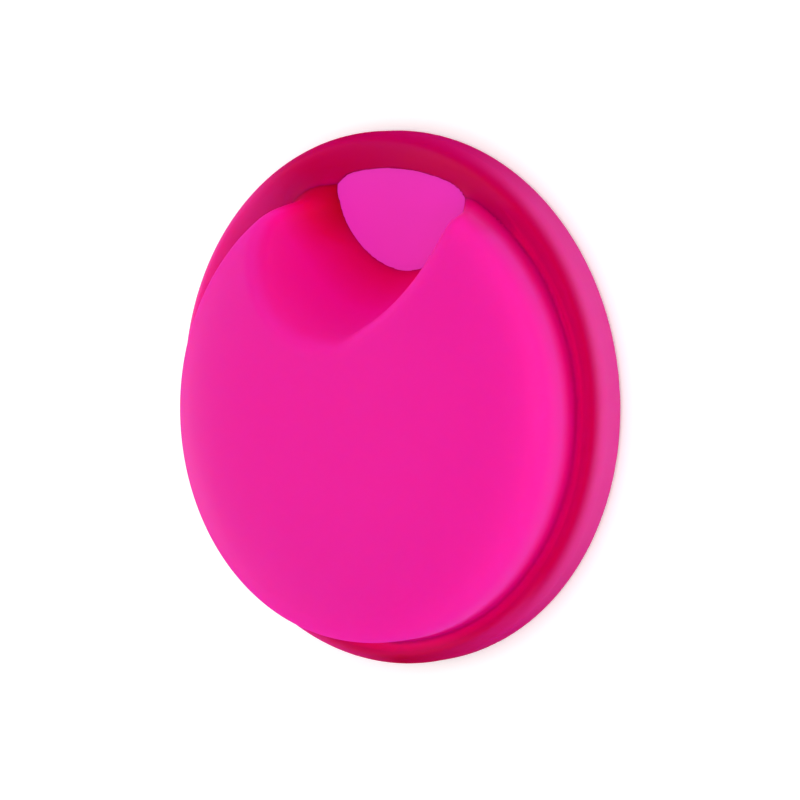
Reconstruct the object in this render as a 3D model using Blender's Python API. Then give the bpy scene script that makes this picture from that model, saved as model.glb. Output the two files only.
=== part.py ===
"""Silicone disc with a round rim, a low hollow bowl and a finger notch.

The disc lies on the flat mouth face of its rim (z = 0) with the bowl upward (+Z)
and the finger notch toward +Y. All sizes are metres. One moulding in real life;
here its zones are separate solids, 0.3 mm apart:
  rim_ring      the thick springy bead all round
  bowl_wall     the side and shoulder of the bowl, standing on the rim
  bowl_crown    the thin top of the bowl, which gives when it is pressed
  finger_scoop  the walls of the notch that a fingertip goes into
  notch_web     the thin flat membrane that closes the bottom of the notch
"""
import math

import bmesh
import bpy
from mathutils import Vector

for old in list(bpy.data.objects):
    bpy.data.objects.remove(old, do_unlink=True)

MM = 0.001

# ---- rim -------------------------------------------------------------------
RIM_OUTER_R = 35.0 * MM        # outside radius of the disc
RIM_INNER_R = 30.1 * MM        # inside radius of the mouth
RIM_NOSE_R = 2.3 * MM          # rounding of the outside wall
RIM_NOSE_Z = 3.3 * MM          # height of that rounding's centre
RIM_CREST_ROUND = 1.2 * MM     # rounding over the crest
RIM_CREST_DEG = 31.0           # where the outside wall passes into the crest
RIM_FOOT_ROUND = 1.2 * MM      # outer rounding at the mouth face
RIM_FOOT_INNER = 0.6 * MM      # inner rounding at the mouth face
RIM_FLANK_DEG = 50.0           # slope of the inner flank below the crest
RIM_SEAT_DEG = 18.0            # gentler slope below it, down to the mouth
RIM_SEAT_R = 31.61 * MM        # where the gentler slope starts
RIM_SEAT_Z = 3.79 * MM
RIM_GROOVE_ROUND = 2.0 * MM    # hollow between the two slopes
RIM_INNER_Z = 3.3 * MM         # top of the mouth's straight wall
RIM_SEGMENTS = 84

# ---- bowl ------------------------------------------------------------------
BOWL_R = 30.25 * MM            # widest radius
BOWL_SHIFT = 1.4 * MM          # how far the bowl sits away from the notch
BOWL_BASE_Z = 6.35 * MM        # height where the dome starts
BOWL_RISE = 8.85 * MM          # dome height above that
BOWL_POWER = 4.0               # how square the shoulder is
BOWL_TILT = 0.067              # the top is higher on the side away from the notch
BOWL_THICK = 1.3 * MM          # silicone thickness
BOWL_FOOT_R = 29.8 * MM        # outside radius of the part that stands in the mouth
BOWL_FOOT_Z = 2.2 * MM         # lower edge
CROWN_SPLIT = 0.83             # crown edge as a share of the bowl radius
BOWL_SEGMENTS = 84

# ---- notch -----------------------------------------------------------------
NOTCH_FLOOR_Z = 3.3 * MM       # top face of the thin web
NOTCH_TOP_Z = 14.4 * MM        # height of the lip at the middle
NOTCH_FLOOR_HALF = 10.3 * MM   # half width at the floor
NOTCH_TOP_HALF = 15.3 * MM     # half width at the lip
NOTCH_FLOOR_Y = 26.0 * MM      # centre line of the curved end, at the floor
NOTCH_TOP_Y = 24.5 * MM        # and at the lip
NOTCH_FLOOR_DEEP = 9.0 * MM    # reach toward the bowl's middle, at the floor
NOTCH_TOP_DEEP = 16.6 * MM     # and at the lip
NOTCH_POWER = 1.85             # shape of the curved end, 2 is an ellipse
NOTCH_DISH = 0.65              # how hollow the walls are, 0 is straight
SCOOP_THICK = 1.2 * MM
WEB_THICK = 0.8 * MM
WEB_CORNER = 0.6 * MM         # cut corners beside the rim
GAP = 0.3 * MM                 # clearance between neighbouring solids


def material(name, colour, rough, alpha=1.0):
    """A Principled silicone colour for one piece."""
    mat = bpy.data.materials.new(name)
    mat.use_nodes = True
    shader = mat.node_tree.nodes["Principled BSDF"]
    shader.inputs["Base Color"].default_value = (*colour, 1.0)
    shader.inputs["Roughness"].default_value = rough
    shader.inputs["Alpha"].default_value = alpha
    mat.diffuse_color = (*colour, alpha)
    return mat


def make_object(name, bm, mat=None):
    """Closes off a bmesh as one named object with outward faces."""
    bmesh.ops.remove_doubles(bm, verts=bm.verts, dist=1e-7)
    bmesh.ops.recalc_face_normals(bm, faces=bm.faces)
    mesh = bpy.data.meshes.new(name)
    bm.to_mesh(mesh)
    bm.free()
    obj = bpy.data.objects.new(name, mesh)
    bpy.context.scene.collection.objects.link(obj)
    if mat:
        mesh.materials.append(mat)
    return obj


def arc(cr, cz, radius, deg0, deg1, steps):
    """Points of an arc in the radius-height plane."""
    out = []
    for i in range(steps + 1):
        a = math.radians(deg0 + (deg1 - deg0) * i / steps)
        out.append((cr + radius * math.cos(a), cz + radius * math.sin(a)))
    return out


def revolve(bm, profile, segments):
    """Spins a closed radius-height profile about Z."""
    verts = [bm.verts.new((r, 0.0, z)) for r, z in profile]
    edges = [bm.edges.new((verts[i], verts[(i + 1) % len(verts)])) for i in range(len(verts))]
    bmesh.ops.spin(bm, geom=verts + edges, cent=(0, 0, 0), axis=(0, 0, 1),
                   angle=math.tau, steps=segments, use_merge=True)


def loft(bm, rings, close_first=True, close_last=True):
    """Joins equal-length closed rings of points with quads and caps the ends."""
    made = [[bm.verts.new(p) for p in ring] for ring in rings]
    count = len(made[0])
    for low, high in zip(made, made[1:]):
        for i in range(count):
            j = (i + 1) % count
            bm.faces.new((low[i], low[j], high[j], high[i]))
    if close_first:
        bm.faces.new(list(reversed(made[0])))
    if close_last:
        bm.faces.new(made[-1])
    return made


def apply_boolean(target, cutter, operation):
    """Cuts or intersects with the exact solver and removes the cutter."""
    mod = target.modifiers.new("cut", "BOOLEAN")
    mod.operation = operation
    mod.solver = "EXACT"
    mod.object = cutter
    cutter.hide_render = True
    cutter.display_type = "WIRE"
    bpy.context.view_layer.update()
    graph = bpy.context.evaluated_depsgraph_get()
    mesh = bpy.data.meshes.new_from_object(target.evaluated_get(graph))
    old = target.data
    target.modifiers.clear()
    target.data = mesh
    bpy.data.meshes.remove(old)


def drop(obj):
    bpy.data.objects.remove(obj, do_unlink=True)


def shade_smooth(obj, angle=35.0):
    """Smooth shading that keeps the real corners."""
    bpy.context.view_layer.objects.active = obj
    for other in bpy.context.scene.objects:
        other.select_set(other is obj)
    bpy.ops.object.shade_smooth_by_angle(angle=math.radians(angle))


# ---- rim -------------------------------------------------------------------
def rim_profile():
    """Section of the bead: flat mouth face, round nose, crest, two-slope inner flank."""
    nose_r = RIM_OUTER_R - RIM_NOSE_R
    turn = math.radians(RIM_CREST_DEG)
    reach = RIM_NOSE_R - RIM_CREST_ROUND
    crest_r, crest_z = nose_r + reach * math.cos(turn), RIM_NOSE_Z + reach * math.sin(turn)
    seat = math.radians(RIM_SEAT_DEG)
    groove_r = RIM_SEAT_R - RIM_GROOVE_ROUND * math.sin(seat)
    groove_z = RIM_SEAT_Z + RIM_GROOVE_ROUND * math.cos(seat)
    pts = arc(RIM_OUTER_R - RIM_FOOT_ROUND, RIM_FOOT_ROUND, RIM_FOOT_ROUND, -90, 0, 4)
    pts += arc(nose_r, RIM_NOSE_Z, RIM_NOSE_R, 0, RIM_CREST_DEG, 3)
    pts += arc(crest_r, crest_z, RIM_CREST_ROUND, RIM_CREST_DEG, 90 + RIM_FLANK_DEG, 7)[1:]
    pts += arc(groove_r, groove_z, RIM_GROOVE_ROUND, RIM_FLANK_DEG - 90, RIM_SEAT_DEG - 90, 3)
    pts.append((RIM_INNER_R, RIM_INNER_Z))
    pts += arc(RIM_INNER_R + RIM_FOOT_INNER, RIM_FOOT_INNER, RIM_FOOT_INNER, 180, 270, 3)
    return pts


def build_rim(mat):
    bm = bmesh.new()
    revolve(bm, rim_profile(), RIM_SEGMENTS)
    return make_object("rim_ring", bm, mat)


# ---- bowl ------------------------------------------------------------------
def bowl_ring(radius, z, shift, tilt=0.0):
    """One level of the bowl: a circle moved away from the notch, maybe tilted."""
    ring = []
    for i in range(BOWL_SEGMENTS):
        a = math.tau * i / BOWL_SEGMENTS
        y = radius * math.sin(a) - shift
        ring.append(Vector((radius * math.cos(a), y, z - tilt * y)))
    return ring


def dome_ring(share, inset=0.0):
    """A ring of the dome at a share of its radius, on the outer or inner skin."""
    radius = BOWL_R * share - inset * share ** 3
    rise = (1.0 - share ** BOWL_POWER) ** (1.0 / BOWL_POWER)
    drop_z = inset * (1.0 - share ** 6)
    return bowl_ring(radius, BOWL_BASE_Z + BOWL_RISE * rise - drop_z, BOWL_SHIFT,
                     BOWL_TILT * rise)


def foot_rings(inset=0.0):
    """Levels from the lower edge up to where the dome starts."""
    part = ((BOWL_FOOT_Z, BOWL_FOOT_R, 0.0), (3.5 * MM, BOWL_FOOT_R, 0.0),
            (4.1 * MM, 30.0 * MM, 0.5 * MM), (4.5 * MM, 30.1 * MM, 1.0 * MM),
            (5.0 * MM, BOWL_R, BOWL_SHIFT), (6.1 * MM, BOWL_R, BOWL_SHIFT))
    return [bowl_ring(r - inset, z, s) for z, r, s in part]


def build_wall(mat):
    """Side of the bowl from the rim up over the shoulder, a closed thick skin."""
    edge = CROWN_SPLIT + GAP / BOWL_R
    shares = (0.9998, 0.993, 0.975, 0.945, 0.90, edge)
    bm = bmesh.new()
    outer = foot_rings() + [dome_ring(s) for s in shares]
    inner = foot_rings(BOWL_THICK) + [dome_ring(s, BOWL_THICK) for s in shares[:-1]]
    top = [Vector((p.x, p.y, p.z - BOWL_THICK * 0.9)) for p in outer[-1]]
    rings = outer + [top] + list(reversed(inner))
    rings.append(rings[0])
    loft(bm, rings, False, False)
    return make_object("bowl_wall", bm, mat)


def build_crown(mat):
    """Thin top of the bowl with straight-cut edges, so that it can sink."""
    shares = (CROWN_SPLIT, 0.76, 0.64, 0.48, 0.30, 0.12)
    bm = bmesh.new()
    outer = [dome_ring(s) for s in shares]
    inner = [[Vector((p.x, p.y, p.z - BOWL_THICK * 0.9)) for p in outer[0]]]
    inner += [dome_ring(s, BOWL_THICK) for s in shares[1:]]
    rings = list(reversed(inner)) + outer
    loft(bm, rings)
    return make_object("bowl_crown", bm, mat)


def dome_volume():
    """Everything under the bowl's outer skin, to trim the scoop flush with it."""
    shares = (0.9998, 0.993, 0.975, 0.945, 0.90, 0.84, 0.76, 0.64, 0.48, 0.30, 0.12)
    bm = bmesh.new()
    low = bowl_ring(BOWL_FOOT_R, NOTCH_FLOOR_Z - WEB_THICK, 0.0)
    loft(bm, [low] + foot_rings()[1:] + [dome_ring(s) for s in shares])
    return make_object("dome_volume", bm)


# ---- notch -----------------------------------------------------------------
def notch_level(z, grow=0.0):
    """The U-shaped outline of the finger notch at one height."""
    t = min(max(0.0, (z - NOTCH_FLOOR_Z) / (NOTCH_TOP_Z - NOTCH_FLOOR_Z)), 1.2)
    out = (1.0 - NOTCH_DISH) * t + NOTCH_DISH * (1.0 - max(1.0 - t, 0.0) ** 2)
    half = NOTCH_FLOOR_HALF + (NOTCH_TOP_HALF - NOTCH_FLOOR_HALF) * out + grow
    deep = NOTCH_FLOOR_DEEP + (NOTCH_TOP_DEEP - NOTCH_FLOOR_DEEP) * out + grow
    mid_y = NOTCH_FLOOR_Y + (NOTCH_TOP_Y - NOTCH_FLOOR_Y) * out
    far_y = 36.0 * MM
    ring = [Vector((half, far_y, z))]
    steps = 30
    for i in range(steps + 1):
        a = math.pi * i / steps
        across, along = math.cos(a), max(math.sin(a), 0.0)
        side = math.copysign(abs(across) ** (2.0 / NOTCH_POWER), across)
        ring.append(Vector((half * side, mid_y - deep * along ** (2.0 / NOTCH_POWER), z)))
    ring.append(Vector((-half, far_y, z)))
    return ring


def notch_volume(name, grow, z_low):
    """Solid that fills the notch, made wider by grow."""
    levels = [z_low, NOTCH_FLOOR_Z, 4.2 * MM, 5.4 * MM, 7.0 * MM, 9.0 * MM, 11.5 * MM,
              NOTCH_TOP_Z, 18.0 * MM]
    bm = bmesh.new()
    loft(bm, [notch_level(z, grow) for z in levels])
    return make_object(name, bm)


def build_scoop(mat):
    """Walls of the notch: a thick skin round the finger space, flush with the dome."""
    scoop = notch_volume("finger_scoop", SCOOP_THICK, -1.0 * MM)
    scoop.data.materials.append(mat)
    hollow = notch_volume("hollow", 0.0, -2.0 * MM)
    apply_boolean(scoop, hollow, "DIFFERENCE")
    drop(hollow)
    trim = dome_volume()
    apply_boolean(scoop, trim, "INTERSECT")
    drop(trim)
    return scoop


def web_outline():
    """Flat outline: curved end inside the scoop, rim side on the mouth circle."""
    half = NOTCH_FLOOR_HALF - GAP
    pts = [(p.x, p.y) for p in notch_level(NOTCH_FLOOR_Z, -GAP)[1:-1]]
    start = math.acos((half - WEB_CORNER) / BOWL_FOOT_R)
    pts.append((-half, BOWL_FOOT_R * math.sin(start) - WEB_CORNER))
    for i in range(13):
        a = math.pi - start + (2.0 * start - math.pi) * i / 12
        pts.append((BOWL_FOOT_R * math.cos(a), BOWL_FOOT_R * math.sin(a)))
    pts.append((half, BOWL_FOOT_R * math.sin(start) - WEB_CORNER))
    return pts


def build_web(mat):
    """Thin flat membrane across the bottom of the notch."""
    outline = web_outline()
    bm = bmesh.new()
    low = [Vector((x, y, NOTCH_FLOOR_Z - WEB_THICK)) for x, y in outline]
    high = [Vector((x, y, NOTCH_FLOOR_Z)) for x, y in outline]
    loft(bm, [low, high])
    return make_object("notch_web", bm, mat)


def main():
    rim_mat = material("silicone_rim", (0.62, 0.03, 0.22), 0.5)
    bowl_mat = material("silicone_bowl", (0.88, 0.03, 0.38), 0.5)
    scoop_mat = material("silicone_scoop", (0.80, 0.02, 0.28), 0.5)
    web_mat = material("silicone_web", (0.86, 0.05, 0.43), 0.5, 0.92)
    build_rim(rim_mat)
    wall = build_wall(bowl_mat)
    crown = build_crown(bowl_mat)
    cutter = notch_volume("notch_cutter", SCOOP_THICK + GAP, -1.0 * MM)
    apply_boolean(wall, cutter, "DIFFERENCE")
    apply_boolean(crown, cutter, "DIFFERENCE")
    drop(cutter)
    build_scoop(scoop_mat)
    build_web(web_mat)
    for obj in list(bpy.context.scene.objects):
        shade_smooth(obj)


main()
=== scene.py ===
"""Looks for the silicone disc: one soft pink moulding with a bead rim, bowl and notch."""

import math

import bpy
import numpy as np
from mathutils import Matrix, Vector


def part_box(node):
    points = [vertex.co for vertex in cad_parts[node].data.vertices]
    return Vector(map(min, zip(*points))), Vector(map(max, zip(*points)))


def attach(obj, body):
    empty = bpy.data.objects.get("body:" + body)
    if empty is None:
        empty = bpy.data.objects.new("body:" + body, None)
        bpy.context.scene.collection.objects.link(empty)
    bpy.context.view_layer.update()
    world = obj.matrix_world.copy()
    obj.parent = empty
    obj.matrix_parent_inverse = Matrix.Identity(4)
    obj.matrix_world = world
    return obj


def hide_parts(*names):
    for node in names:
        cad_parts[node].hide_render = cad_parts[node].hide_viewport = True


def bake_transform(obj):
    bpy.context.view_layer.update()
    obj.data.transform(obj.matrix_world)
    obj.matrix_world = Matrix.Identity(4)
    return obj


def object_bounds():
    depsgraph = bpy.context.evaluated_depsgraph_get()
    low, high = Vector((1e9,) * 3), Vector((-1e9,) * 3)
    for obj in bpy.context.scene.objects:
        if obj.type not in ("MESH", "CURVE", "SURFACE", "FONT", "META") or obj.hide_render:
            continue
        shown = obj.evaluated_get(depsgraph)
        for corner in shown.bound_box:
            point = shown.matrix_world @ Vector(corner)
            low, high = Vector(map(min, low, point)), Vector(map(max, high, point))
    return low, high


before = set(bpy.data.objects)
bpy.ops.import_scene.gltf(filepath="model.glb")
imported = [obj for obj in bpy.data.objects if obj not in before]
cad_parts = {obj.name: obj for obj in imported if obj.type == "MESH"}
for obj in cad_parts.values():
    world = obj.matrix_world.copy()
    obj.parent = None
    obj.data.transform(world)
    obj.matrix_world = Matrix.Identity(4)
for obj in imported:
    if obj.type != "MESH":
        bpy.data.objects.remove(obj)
CAD_LOW, CAD_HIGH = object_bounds()
MM = 0.001

# ---- sizes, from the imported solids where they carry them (millimetres) --------
RIM_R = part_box("rim_ring")[1].x / MM
RIM_H = 5.6                     # height of the bead before its crest is rounded
NOSE_ROUND = 2.3                # outside of the bead
CREST_ROUND = 1.2
MOUTH_ROUND = 0.9               # outer edge of the mouth face
MOUTH_INNER_ROUND = 0.3
MOUTH_R = RIM_R - 4.9
FLANK_LOW = math.radians(18)    # the bead's inner flank, beside the film
FLANK = math.radians(50)        # and higher up
FLANK_R = 31.6                  # where the two slopes meet at film level
FLANK_ROUND = 2.0
BOWL_R = 30.25
BOWL_SHIFT = 1.4                # how far the bowl sits away from the notch
DOME_Z = 6.35                   # height where the dome starts
DOME_H = 8.77
DOME_POWER = 4.0                # how square the shoulder is
DOME_TILT = 0.067
THICK = 1.3
FOOT_Z = 2.2                    # lower edge of the bowl's wall
LEDGE_R = 33.0                  # outer edge of the ledge that carries it
LEDGE_HALF = 0.6                # half the ledge's thickness
FILM_TOP = 3.3
FILM_LOW = 2.5
FILM_TUCK = 0.7                 # how far the film reaches into the walls

# the notch: at the film, and how much it grows up to its lip
LIP_Z = 14.4                    # height of the lip in the middle
NOTCH_HALF, HALF_GROWTH = 10.5, 3.2
LEFT_HALF, LEFT_GROWTH = -0.5, 3.8      # added on the left, which opens wider
NOTCH_MID, MID_GROWTH = 26.0, -1.5      # where it is widest
NOTCH_DEEP, DEEP_GROWTH = 9.0, 7.6      # from there to its innermost point
NOTCH_POWER, POWER_GROWTH = 1.85, -0.2  # 2 is round, less is pointed
LEFT_POWER_GROWTH = 0.35
NOTCH_DISH = 0.65               # 0 for straight walls, 1 for the roundest dish
NOTCH_LEAN, LEAN_GROWTH = 0.12, -0.3    # sideways per millimetre inward
CORNER_X, CORNER_Y = 12.0, 27.0         # where a notch wall meets the rim
CORNER_REACH = 10.0             # how far round it the corner's own shape and tones go
CORNER_FADE = 7.0

GROOVE_ROUND = 1.6              # fillet between rim and bowl
CORNER_ROUND = 3.6              # the same fillet where the notch walls meet the rim
LIP_ROUND = 1.8                 # edge of the notch in the middle, and more toward the rim
HORN_ROUND = 2.4
OVERLAP = 1.6                   # how far rim and bowl run on under each other's skin
DIP = 0.1                       # how deep they go there
SLIP = 0.4                      # half the band in which they sink
SEAM_HALF = 2.2                 # half the band that carries the seam's one colour
TURN = math.radians(10.9)       # how far the camera and lights are turned about Z


# ---- solid shapes as distance fields ------------------------------------------
def round_max(a, b, r):
    """Intersection with a rounded outside edge of radius r."""
    return np.minimum(np.maximum(a, b), -r) + np.hypot(np.maximum(a + r, 0), np.maximum(b + r, 0))


def round_min(a, b, r):
    """Union with a fillet of radius r in its inside corner."""
    return np.maximum(np.minimum(a, b), r) - np.hypot(np.maximum(r - a, 0), np.maximum(r - b, 0))


def smooth(x, low, high):
    t = np.clip((x - low) / (high - low), 0, 1)
    return t * t * (3 - 2 * t)


def slope_of(field, p, eps=0.02):
    """A field's gradient at each point, by central differences."""
    g = np.empty_like(p)
    for axis in range(3):
        step = np.zeros(3)
        step[axis] = eps
        g[:, axis] = (field(p + step) - field(p - step)) / (2 * eps)
    return g


def as_distance(gauge, p):
    """Millimetres from the surface where a gauge is 1, near that surface."""
    return (gauge(p) - 1) / np.maximum(np.linalg.norm(slope_of(gauge, p), axis=1), 1e-3)


def rim_field(p):
    """Bead: round outside, flat mouth face, inner flank that starts low beside the film."""
    rho, z = np.hypot(p[:, 0], p[:, 1]), p[:, 2]
    body = round_max(rho - RIM_R, z - RIM_H, NOSE_ROUND)
    low = (MOUTH_R - rho) * math.sin(FLANK_LOW) + (z - FILM_TOP) * math.cos(FLANK_LOW)
    high = (FLANK_R - rho) * math.sin(FLANK) + (z - FILM_TOP) * math.cos(FLANK)
    inner = round_min(low, high, FLANK_ROUND)
    inner = round_max(MOUTH_R - rho, inner, MOUTH_INNER_ROUND)
    body = round_max(body, inner, CREST_ROUND)
    return round_max(body, -z, MOUTH_ROUND)


def dome_gauge(p):
    """1 on the bowl's outer skin, growing evenly outward."""
    x, y, z = p[:, 0], p[:, 1], p[:, 2]
    rise = np.clip((z - DOME_Z) / DOME_H, 0, 1)
    level = z + DOME_TILT * y * rise
    a = np.hypot(x, y + BOWL_SHIFT) / BOWL_R
    b = np.maximum(level - DOME_Z, 0) / DOME_H
    return (a ** DOME_POWER + b ** DOME_POWER) ** (1 / DOME_POWER)


def left_share(x):
    """1 on the notch's left, 0 on its right."""
    return smooth(-x, -3, 3)


def notch_gauge(p):
    """1 on the notch's wall, less inside the finger space: a dish that leans a little."""
    x, y, z = p[:, 0], p[:, 1], p[:, 2]
    t = np.clip((z - FILM_TOP) / (LIP_Z - FILM_TOP), 0, 1.2)
    out = (1 - NOTCH_DISH) * t + NOTCH_DISH * (1 - np.maximum(1 - t, 0) ** 2)
    left = left_share(x)
    half = NOTCH_HALF + LEFT_HALF * left + (HALF_GROWTH + LEFT_GROWTH * left) * out
    power = NOTCH_POWER + POWER_GROWTH * out + LEFT_POWER_GROWTH * left * out
    reach = np.maximum(NOTCH_MID + MID_GROWTH * out - y, 0)
    q = np.abs(x - (NOTCH_LEAN + LEAN_GROWTH * t) * reach) / half
    e = reach / (NOTCH_DEEP + DEEP_GROWTH * out)
    return (q ** power + e ** power) ** (1 / power)


def notch_wall(p):
    return as_distance(notch_gauge, p)


def bowl_field(p):
    """Even skin under the dome and down the walls of the notch."""
    y, z = p[:, 1], p[:, 2]
    notch = notch_wall(p)
    lip = LIP_ROUND + (HORN_ROUND - LIP_ROUND) * smooth(y, 10, 25)
    outside = round_max(as_distance(dome_gauge, p), -notch, lip)
    skin = np.maximum(outside, -(outside + THICK))
    return np.maximum(skin, FOOT_Z - z)


def foot_field(p):
    """Ledge that carries the bowl's wall and closes the bottom of the groove."""
    away, z = np.hypot(p[:, 0], p[:, 1] + BOWL_SHIFT), p[:, 2]
    rho = np.hypot(p[:, 0], p[:, 1])
    ring = np.maximum(np.abs(away - BOWL_R) - THICK, rho - LEDGE_R)
    return np.maximum(ring, np.abs(z - FILM_LOW) - LEDGE_HALF)


def film_field(p):
    """Flat film, tucked a little into the walls and the rim round it."""
    flat = p.copy()
    flat[:, 2] = FILM_TOP
    rho, z = np.hypot(p[:, 0], p[:, 1]), p[:, 2]
    plan = np.maximum(notch_wall(flat) - FILM_TUCK, rho - MOUTH_R - 0.8)
    return np.maximum(plan, np.abs(z - (FILM_TOP + FILM_LOW) / 2) - (FILM_TOP - FILM_LOW) / 2)


def corner_share(p):
    """1 where a notch wall meets the rim, fading to 0 round it."""
    away = np.hypot(np.abs(p[:, 0]) - CORNER_X, p[:, 1] - CORNER_Y)
    return smooth(CORNER_REACH - away, 0, CORNER_FADE)


def groove_fillet(p):
    """The fillet is larger where the notch walls meet the rim."""
    return GROOVE_ROUND + (CORNER_ROUND - GROOVE_ROUND) * corner_share(p)


def moulding(p):
    """Rim and bowl as one skin, and how much nearer a point is to the bowl."""
    r, b = rim_field(p), bowl_field(p)
    return round_min(r, b, groove_fillet(p)), r - b


def whole(p):
    return np.minimum(moulding(p)[0], foot_field(p))


def rim_piece(p):
    """The rim slips just under the bowl's skin where the two meet."""
    skin, side = moulding(p)
    skin = skin + DIP * smooth(side, -SLIP, SLIP)
    return np.minimum(np.maximum(skin, side - OVERLAP), foot_field(p))


def bowl_piece(p):
    """The bowl slips just under the rim's skin, the same way."""
    skin, side = moulding(p)
    skin = skin + DIP * smooth(-side, -SLIP, SLIP)
    return np.maximum(skin, -side - OVERLAP)


def seam_share(p):
    """1 where rim and bowl meet, fading to 0 on either side."""
    return 1 - smooth(np.abs(moulding(p)[1]), 0, SEAM_HALF)


# ---- mesh from a field --------------------------------------------------------
def net(field, low, high, step):
    """Closed quad mesh on a field's zero surface (surface nets)."""
    axes = [np.arange(a, b + step, step) for a, b in zip(low, high)]
    shape = [len(a) for a in axes]
    grid = np.stack(np.meshgrid(*axes, indexing="ij"), -1).reshape(-1, 3)
    values = np.concatenate([field(part) for part in np.array_split(grid, 12)]).reshape(shape)
    inside = values < 0
    cells = tuple(n - 1 for n in shape)
    total = np.zeros(cells + (3,))
    count = np.zeros(cells)
    corner = {(i, j, k): (slice(i, i + cells[0]), slice(j, j + cells[1]), slice(k, k + cells[2]))
              for i in (0, 1) for j in (0, 1) for k in (0, 1)}
    for axis in range(3):
        for u in (0, 1):
            for w in (0, 1):
                start = [u, w]
                start.insert(axis, 0)
                end = list(start)
                end[axis] = 1
                a, b = values[corner[tuple(start)]], values[corner[tuple(end)]]
                cross = (a < 0) != (b < 0)
                t = np.where(cross, a / np.where(a == b, 1, a - b), 0)
                place = np.array(start, float) + t[..., None] * (np.array(end) - np.array(start))
                total += place * cross[..., None]
                count += cross
    live = count > 0
    index = np.full(cells, -1)
    index[live] = np.arange(live.sum())
    where = np.argwhere(live)
    points = np.array(low) + step * (where + total[live] / count[live][:, None])
    quads = []
    for axis in range(3):
        u, w = (axis + 1) % 3, (axis + 2) % 3
        first = [slice(None)] * 3
        second = [slice(None)] * 3
        first[axis], second[axis] = slice(0, -1), slice(1, None)
        change = inside[tuple(first)] != inside[tuple(second)]
        at = np.argwhere(change)
        keep = (at[:, u] > 0) & (at[:, w] > 0) & (at[:, u] < cells[u]) & (at[:, w] < cells[w])
        at = at[keep]
        outward = inside[tuple(first)][tuple(at.T)]
        du, dw = np.zeros(3, int), np.zeros(3, int)
        du[u], dw[w] = 1, 1
        loop = [index[tuple((at - s).T)] for s in (du + dw, dw, 0 * du, du)]
        face = np.stack(loop, 1)
        face[~outward] = face[~outward][:, ::-1]
        quads.append(face)
    return points, np.concatenate(quads)


def settle(points, field, rounds, step):
    """Moves points onto the surface, by less than half a grid step each round."""
    for _ in range(rounds):
        g = slope_of(field, points)
        size = np.maximum(np.linalg.norm(g, axis=1), 0.3)
        move = -(field(points) / size ** 2)[:, None] * g
        length = np.linalg.norm(move, axis=1)
        share = np.minimum(1, step * 0.5 / np.maximum(length, 1e-9))
        points = points + move * share[:, None] * 0.9
    return points


def shelter(points, normals):
    """How much of the open sky each point loses to the shape around it, 0 to 1."""
    total = np.zeros(len(points))
    weight = np.full(len(points), 1e-6)
    steps = (-1, 0, 1)
    ways = [Vector((i, j, k)).normalized() for i in steps for j in steps for k in steps
            if (i, j, k) != (0, 0, 0) and k >= 0]
    for way in ways:
        toward = normals @ np.array(way)
        lit = toward > 0.15
        facing = toward[lit]
        blocked = np.zeros(lit.sum())
        for reach in (2.5, 6.0, 11.0):
            at = points[lit] + np.array(way) * reach + normals[lit] * 0.1
            clear = np.minimum(whole(at), film_field(at))
            blocked = np.maximum(blocked, np.clip(1 - clear / (reach * facing), 0, 1))
        total[lit] += facing * blocked
        weight[lit] += facing
    return total / weight


GROOVE_SHADE_REACH = 7.0               # how far up the bowl the groove's painted shade reaches


def bowl_tones(points, normals, loss):
    """Painted shade: darker toward the groove, in the notch darker with depth, and in the low
    corners where the notch meets the rim.
    """
    near = 1 - np.clip(moulding(points)[1] / GROOVE_SHADE_REACH, 0, 1)
    inside = smooth(-as_distance(dome_gauge, points) - notch_wall(points), -0.8, 1.2)
    low = np.clip((LIP_Z - points[:, 2]) / (LIP_Z - FILM_TOP), 0, 1)
    corner = corner_share(points)
    # painted shade in the low corner where a notch wall meets the rim, more on the left
    horn = smooth(corner, 0.2, 0.8) * smooth(low, 0.3, 0.6) * (0.3 + 0.7 * left_share(points[:, 0]))
    share = np.maximum(inside, horn) * (1 - seam_share(points) * (1 - corner))
    return near, share, 0.75 * low + 0.25 * low * corner


def rim_tones(points, normals, loss):
    """Crimson on top and in the groove, lifted there by painted light against its shade; the outer
    wall pinker by painted light and highlight on the left and right sides, darker by painted shade
    at the bottom.
    """
    rho = np.hypot(points[:, 0], points[:, 1])
    out = (normals[:, 0] * points[:, 0] + normals[:, 1] * points[:, 1]) / rho
    across = (points[:, 0] * math.cos(TURN) + points[:, 1] * math.sin(TURN)) / rho
    along = (points[:, 1] * math.cos(TURN) - points[:, 0] * math.sin(TURN)) / rho
    # share of the wall ramp: painted light down the outer wall and over the whole left side,
    # painted shade at the bottom, less toward the top
    share = smooth(out, 0.6, 1.0) * (1 - 0.6 * smooth(along, 0.6, 0.95))
    low_end = smooth(-along, 0.7, 0.95) * (1 - smooth(loss, 0.3, 0.6))
    share = np.maximum(share, 0.95 * np.maximum(smooth(-across, 0.2, 0.6), low_end))
    seam = seam_share(points)
    # tone: the sky each point loses, held at one fixed value along the seam; the rim ramp paints
    # light into these hollows
    tone = loss + (0.9 - 0.3 * corner_share(points) - loss) * seam
    # the wall ramp runs from the left side (0) to the right side (1): painted side light, darker in
    # between
    return tone, share * (1 - seam), 0.5 + 0.5 * across


# The film's tone is the sky it loses; its ramp runs lighter there, painted light against its shade.
def film_tones(points, normals, loss):
    return loss, 0 * loss, 0 * loss


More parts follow.
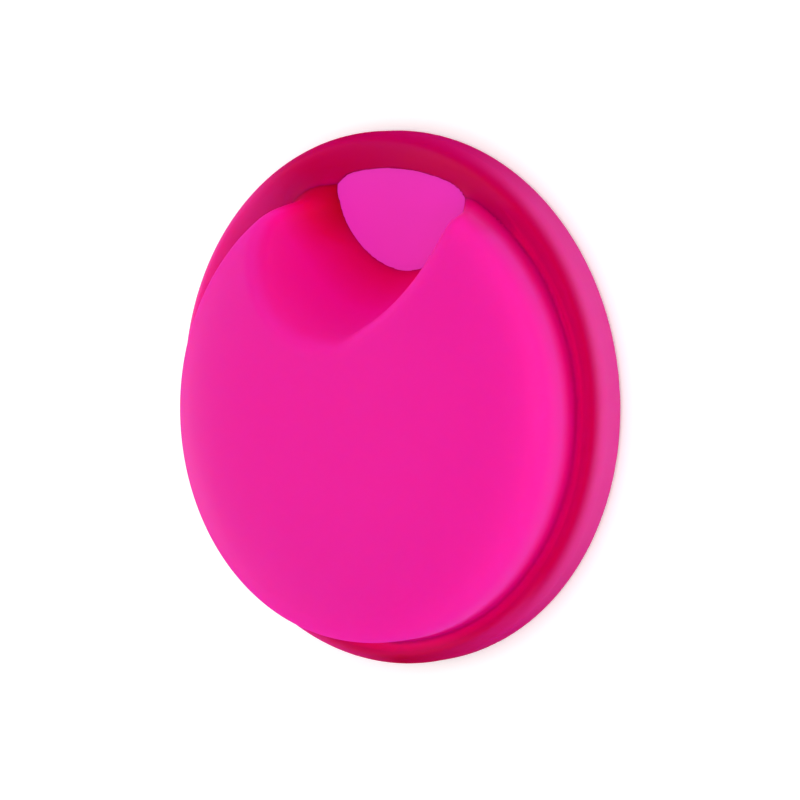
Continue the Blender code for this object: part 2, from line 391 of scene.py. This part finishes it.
def build_piece(name, field, low, high, step, mat, tones, cover=whole):
    """Meshes a field, and shades it by the smooth skin that covers it."""
    points, quads = net(field, low, high, step)
    points = settle(points, field, 3, step)
    points[:, 2] = np.maximum(points[:, 2], 0)
    mesh = bpy.data.meshes.new(name)
    mesh.from_pydata((points * MM).tolist(), [], quads.tolist())
    mesh.polygons.foreach_set("use_smooth", [True] * len(mesh.polygons))
    skin = np.abs(cover(points)) < DIP + 0.02
    normals = slope_of(field, points, 0.03)
    normals[skin] = slope_of(cover, points[skin], 0.03)
    normals /= np.maximum(np.linalg.norm(normals, axis=1), 1e-6)[:, None]
    # The sky each point loses goes into its tones, which the ramps turn into painted light and
    # shade.
    cover_loss = shelter(points, normals)
    for label, value in zip(("tone", "share", "second"), tones(points, normals, cover_loss)):
        layer = mesh.attributes.new(label, "FLOAT", "POINT")
        layer.data.foreach_set("value", value.astype(np.float32))
    mesh.normals_split_custom_set_from_vertices(normals.tolist())
    mesh.update()
    obj = bpy.data.objects.new(name, mesh)
    bpy.context.scene.collection.objects.link(obj)
    mesh.materials.append(mat)
    return obj


# ---- materials ----------------------------------------------------------------
ROUGH = 0.62
MOTTLE = 0.05                   # how far the soft cloud moves a colour along its ramp
SCATTER_DEPTH = 3.0 * MM
SCATTER_RGB = (1.0, 0.15, 0.35)     # red light goes deepest
CLOUD_SCALE = 120.0
GRAIN_SCALE = 2500.0
GRAIN_DEPTH = 0.05 * MM


def ramp_of(nodes, stops):
    ramp = nodes.new("ShaderNodeValToRGB")
    ramp.color_ramp.interpolation = "LINEAR"
    points = ramp.color_ramp.elements
    while len(points) < len(stops):
        points.new(0.5)
    for point, (at, colour) in zip(points, stops):
        point.position = at
        point.color = (*colour, 1)
    return ramp


def read_layer(nodes, name):
    layer = nodes.new("ShaderNodeAttribute")
    layer.attribute_name = name
    return layer.outputs["Fac"]


def swayed(nodes, links, source, cloud, amount):
    """A ramp position, moved a little by a soft cloud so that the colour is never flat."""
    sway = nodes.new("ShaderNodeMath")
    sway.operation = "MULTIPLY_ADD"
    sway.inputs[1].default_value = amount
    links.new(cloud, sway.inputs[0])
    links.new(source, sway.inputs[2])
    return sway.outputs[0]


def silicone(name, stops, other, scatter=1.0):
    """Soft pink silicone: two colour ramps along the piece's tones, mixed by its share; the ramps
    carry painted light and shade.
    """
    mat = bpy.data.materials.new(name)
    mat.use_nodes = True
    nodes, links = mat.node_tree.nodes, mat.node_tree.links
    shader = nodes["Principled BSDF"]
    place = nodes.new("ShaderNodeTexCoord")
    cloud = nodes.new("ShaderNodeTexNoise")
    cloud.inputs["Scale"].default_value = CLOUD_SCALE
    cloud.inputs["Detail"].default_value = 8.0
    cloud.inputs["Roughness"].default_value = 0.7
    links.new(place.outputs["Object"], cloud.inputs["Vector"])
    mix = nodes.new("ShaderNodeMix")
    mix.data_type = "RGBA"
    links.new(read_layer(nodes, "share"), mix.inputs["Factor"])
    for label, row, socket in (("tone", stops, mix.inputs[6]), ("second", other, mix.inputs[7])):
        ramp = ramp_of(nodes, row)
        spot = swayed(nodes, links, read_layer(nodes, label), cloud.outputs["Fac"], MOTTLE)
        links.new(spot, ramp.inputs["Fac"])
        links.new(ramp.outputs["Color"], socket)
    links.new(mix.outputs[2], shader.inputs["Base Color"])
    grain = nodes.new("ShaderNodeTexNoise")
    grain.inputs["Scale"].default_value = GRAIN_SCALE
    grain.inputs["Detail"].default_value = 2.0
    links.new(place.outputs["Object"], grain.inputs["Vector"])
    bump = nodes.new("ShaderNodeBump")
    bump.inputs["Strength"].default_value = 0.05
    bump.inputs["Distance"].default_value = GRAIN_DEPTH
    links.new(grain.outputs["Fac"], bump.inputs["Height"])
    links.new(bump.outputs["Normal"], shader.inputs["Normal"])
    shader.inputs["Roughness"].default_value = ROUGH
    shader.inputs["Specular IOR Level"].default_value = 0.5
    shader.inputs["Subsurface Weight"].default_value = scatter
    shader.inputs["Subsurface Radius"].default_value = SCATTER_RGB
    shader.inputs["Subsurface Scale"].default_value = SCATTER_DEPTH
    return mat


# ---- studio -------------------------------------------------------------------
FLOOR_HALF = 4.0
FLOOR_GAP = 0.02 * MM           # keeps the floor clear of the mouth face
FLOOR_GREY = 0.99
FLOOR_GLOW = 0.15
WORLD_GLOW = 1.1
CAMERA_TILT = math.radians(38.47)       # from straight down toward +X
CAMERA_ROLL = math.radians(6.22)
CAMERA_AWAY = 0.6
CAMERA_LENS = 205.6
AIM_Z, AIM_RIGHT, AIM_DOWN = 2.6 * MM, 0.75 * MM, 0.32 * MM


def aim(obj, target):
    obj.rotation_mode = "QUATERNION"
    obj.rotation_quaternion = (Vector(target) - obj.location).to_track_quat("-Z", "Y")


def area_light(name, place, size, power):
    data = bpy.data.lights.new(name, "AREA")
    data.shape = "DISK"
    data.size = size
    data.energy = power
    obj = bpy.data.objects.new(name, data)
    bpy.context.scene.collection.objects.link(obj)
    obj.location = place
    aim(obj, (0, 0, 0.005))
    return obj


def make_floor():
    mesh = bpy.data.meshes.new("floor")
    s = FLOOR_HALF
    mesh.from_pydata([(-s, -s, 0), (s, -s, 0), (s, s, 0), (-s, s, 0)], [], [(0, 1, 2, 3)])
    obj = bpy.data.objects.new("floor", mesh)
    bpy.context.scene.collection.objects.link(obj)
    obj.location.z = CAD_LOW.z - FLOOR_GAP
    mat = bpy.data.materials.new("floor_paper")
    mat.use_nodes = True
    shader = mat.node_tree.nodes["Principled BSDF"]
    shader.inputs["Base Color"].default_value = (FLOOR_GREY, FLOOR_GREY, FLOOR_GREY, 1)
    shader.inputs["Emission Color"].default_value = (1, 1, 1, 1)
    shader.inputs["Emission Strength"].default_value = FLOOR_GLOW
    shader.inputs["Roughness"].default_value = 0.9
    shader.inputs["Specular IOR Level"].default_value = 0.5
    mesh.materials.append(mat)
    obj.visible_glossy = False
    return obj


def make_world(strength):
    world = bpy.data.worlds.new("studio")
    world.use_nodes = True
    back = world.node_tree.nodes["Background"]
    back.inputs["Color"].default_value = (1, 1, 1, 1)
    back.inputs["Strength"].default_value = strength
    world.cycles_visibility.glossy = False
    bpy.context.scene.world = world


def make_camera():
    """Looks down on the bowl from its side, rolled so that the notch is at the top."""
    tilt, roll = CAMERA_TILT, CAMERA_ROLL
    e1 = Vector((math.cos(tilt), 0, -math.sin(tilt)))
    e2 = Vector((0, 1, 0))
    toward = Vector((math.sin(tilt), 0, math.cos(tilt)))
    right = e1 * math.cos(roll) - e2 * math.sin(roll)
    up = e1 * math.sin(roll) + e2 * math.cos(roll)
    target = Vector((0, 0, AIM_Z)) + right * AIM_RIGHT - up * AIM_DOWN
    spin = Matrix.Rotation(TURN, 3, "Z")
    right, up, toward, target = (spin @ v for v in (right, up, toward, target))
    data = bpy.data.cameras.new("camera")
    data.lens = CAMERA_LENS
    data.sensor_width = 36.0
    data.clip_start = 0.01
    data.clip_end = 50.0
    cam = bpy.data.objects.new("camera", data)
    bpy.context.scene.collection.objects.link(cam)
    facing = Matrix((right, up, toward)).transposed()
    cam.matrix_world = Matrix.Translation(target + toward * CAMERA_AWAY) @ facing.to_4x4()
    bpy.context.scene.camera = cam


# ---- the pieces ---------------------------------------------------------------
STEP = 0.45      # grid of the bowl and the rim
FILM_STEP = 0.4
# Bowl colour by closeness to the groove: a lighter band partway is painted light, the crimson end
# painted shade in the groove.
BOWL_STOPS = ((0.0, (0.81, 0.014, 0.33)), (0.5, (0.82, 0.036, 0.375)), (0.8, (0.86, 0.003, 0.24)),
              (1.0, (0.84, 0.0, 0.16)))
# Notch colour by depth: darker and more crimson further down, painted shade.
NOTCH_STOPS = ((0.0, (0.79, 0.01, 0.27)), (0.45, (0.82, 0.003, 0.25)), (0.75, (0.70, 0.0, 0.085)),
               (1.0, (0.50, 0.0, 0.02)))
# Rim colour along its tone: crimson, lighter where more sky is lost and lightest at the seam,
# painted light set against the shade there.
RIM_STOPS = ((0.0, (0.45, 0.0, 0.09)), (0.4, (0.51, 0.0, 0.07)), (0.7, (0.54, 0.0, 0.10)),
             (0.9, (0.84, 0.0, 0.16)))
# Outer wall colour from left to right: painted light and highlight at both sides, painted shade in
# the middle, which shows at the bottom.
WALL_STOPS = ((0.0, (0.86, 0.035, 0.35)), (0.25, (0.66, 0.02, 0.24)), (0.5, (0.34, 0.0, 0.03)),
              (0.75, (0.50, 0.008, 0.15)), (1.0, (0.60, 0.045, 0.26)))
# Film colour: lighter and more violet than the bowl, partly the thin film's own colour and partly
# painted light coming through it.
FILM_STOPS = ((0.0, (0.83, 0.002, 0.44)), (0.5, (0.91, 0.002, 0.50)))

bowl_mat = silicone("silicone_bowl_skin", BOWL_STOPS, NOTCH_STOPS)
rim_mat = silicone("silicone_bead", RIM_STOPS, WALL_STOPS)
film_mat = silicone("silicone_film", FILM_STOPS, FILM_STOPS, scatter=0.2)

R, TOP = RIM_R + 1.0, CAD_HIGH.z / MM + 1.0
bowl = build_piece("bowl_and_scoop_skin", bowl_piece, (-R, -R, -0.7), (R, R, TOP), STEP, bowl_mat,
                   bowl_tones)
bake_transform(bowl)
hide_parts("bowl_wall", "bowl_crown", "finger_scoop")

rim = build_piece("rim_bead", rim_piece, (-R, -R, -1.0), (R, R, RIM_H + 1.5), STEP, rim_mat,
                  rim_tones)
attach(rim, "disc")
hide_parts("rim_ring")

film = build_piece("notch_film", film_field, (-14, 12, FILM_LOW - 0.9), (14, 33, FILM_TOP + 0.9),
                   FILM_STEP, film_mat, film_tones, film_field)
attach(film, "disc")
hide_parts("notch_web")


def camera_side(x, y, z):
    """A direction in the frame that the camera is turned in."""
    return (x * math.cos(TURN) - y * math.sin(TURN), x * math.sin(TURN) + y * math.cos(TURN), z)


make_floor()
make_world(WORLD_GLOW)
near = area_light("softbox_right_near", camera_side(0.17, 0.0, 0.05), 0.06, 0.04)
near.visible_glossy = False
area_light("softbox_right", camera_side(1.1, 0.0, 0.06), 0.35, 1.0)
area_light("softbox_left", camera_side(-1.1, 0.0, 0.10), 0.35, 2.3)
make_camera()
bpy.context.scene.view_settings.view_transform = "Standard"
